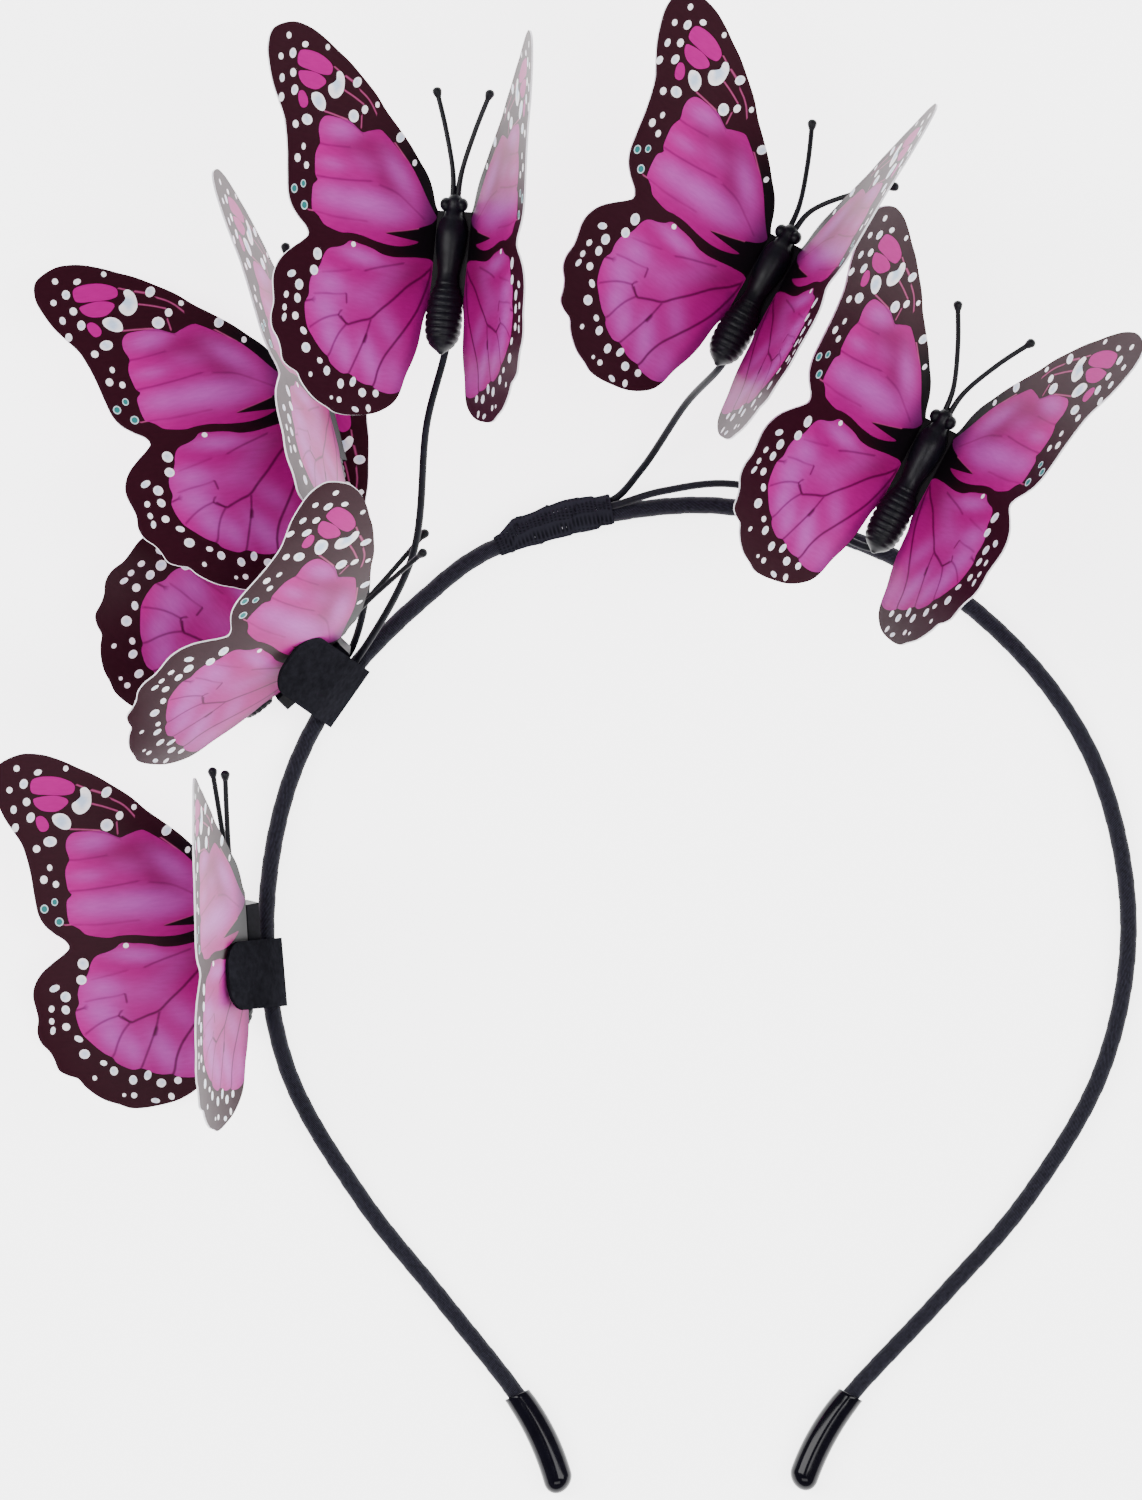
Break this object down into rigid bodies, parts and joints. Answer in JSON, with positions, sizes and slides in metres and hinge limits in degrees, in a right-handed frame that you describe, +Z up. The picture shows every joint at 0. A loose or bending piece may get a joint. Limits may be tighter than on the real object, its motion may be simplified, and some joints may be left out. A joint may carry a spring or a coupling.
{
  "type": "butterfly fascinator headband",
  "caption": "Narrow satin-covered wire headband with gloss end caps and printed film butterflies, some patched to the band and some on thin wire stems.",
  "frame": {"origin": "middle of the bounding box, on the surface that the headband lies on", "axes": "+Y from the open ends to the crown of the band and the butterflies' heads, +Z up off the surface, out of the band's plane"},
  "size_m": [0.1832, 0.24, 0.0723],
  "materials": {
    "satin": "black satin ribbon wound round a spring wire",
    "gloss_cap": "black dipped plastic, glossy",
    "tape": "black open-weave tape, matt",
    "patch": "black imitation leather patch, fine grain",
    "wire": "black coated wire",
    "moulded": "black moulded plastic, satin sheen",
    "printed_film": "semi-gloss film printed on both sides: magenta cells, dark veins and border, pale spots"
  },
  "bodies": {
    "root": {"band": "satin", "cap_left": "gloss_cap", "cap_right": "gloss_cap", "tape_wrap": "tape", "patch_1": "patch", "patch_2": "patch", "stem_3": "wire", "stem_4": "wire", "stem_5": "wire", "stem_6": "wire", "wings_1": "printed_film", "wings_2": "printed_film", "wings_3": "printed_film", "wings_4": "printed_film", "wings_5": "printed_film", "wings_6": "printed_film", "body_1": "moulded", "body_2": "moulded", "body_3": "moulded", "body_4": "moulded", "body_5": "moulded", "body_6": "moulded", "base_1": "moulded", "base_2": "moulded", "base_3": "moulded", "base_4": "moulded", "base_5": "moulded", "base_6": "moulded"}
  },
  "joints": []
}
